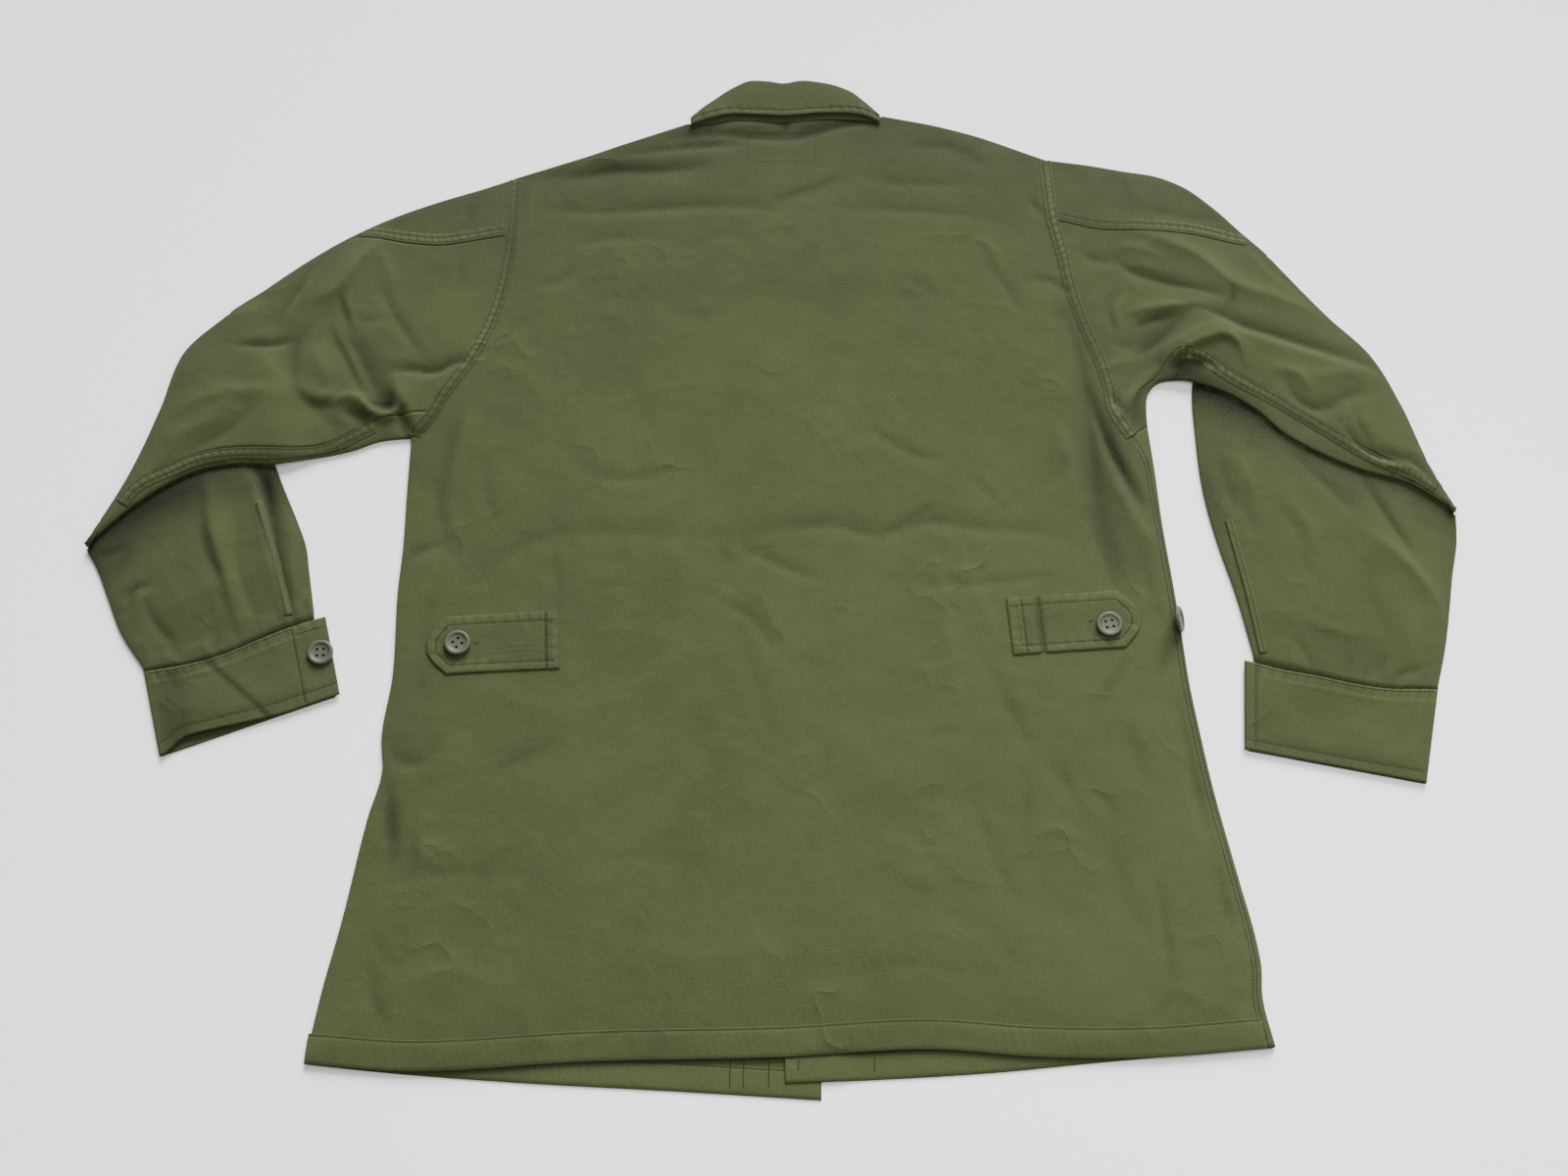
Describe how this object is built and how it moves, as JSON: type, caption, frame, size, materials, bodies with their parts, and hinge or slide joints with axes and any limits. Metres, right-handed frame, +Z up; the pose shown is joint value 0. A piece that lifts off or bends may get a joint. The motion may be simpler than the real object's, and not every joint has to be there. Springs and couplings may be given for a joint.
{
  "type": "field jacket",
  "caption": "Field jacket lying flat on its front, back up: two-piece sleeves bent at the elbow, collar, buttoned waist tabs and cuffs.",
  "frame": {"origin": "middle of the jacket's footprint, on the surface it lies on", "axes": "+X towards the wearer's right sleeve as it lies, across the jacket; +Y from the hem to the collar; +Z up from the surface it lies on"},
  "size_m": [1.0076, 0.8028, 0.019],
  "materials": {
    "jacket_cloth": "matte olive green cotton, washed and lightly creased",
    "button_plastic": "matte grey olive plastic"
  },
  "bodies": {
    "root": {"back": "jacket_cloth", "button_cuff_left": "button_plastic", "button_side_right": "button_plastic", "button_tab_left": "button_plastic", "button_tab_right": "button_plastic", "collar": "jacket_cloth", "collar_leaf_left": "jacket_cloth", "collar_leaf_right": "jacket_cloth", "cuff_left": "jacket_cloth", "cuff_right": "jacket_cloth", "front_left": "jacket_cloth", "front_right": "jacket_cloth", "placket_left": "jacket_cloth", "placket_right": "jacket_cloth", "tab_left": "jacket_cloth", "tab_right": "jacket_cloth", "topsleeve_left": "jacket_cloth", "topsleeve_right": "jacket_cloth", "undersleeve_left": "jacket_cloth", "undersleeve_right": "jacket_cloth"}
  },
  "joints": []
}
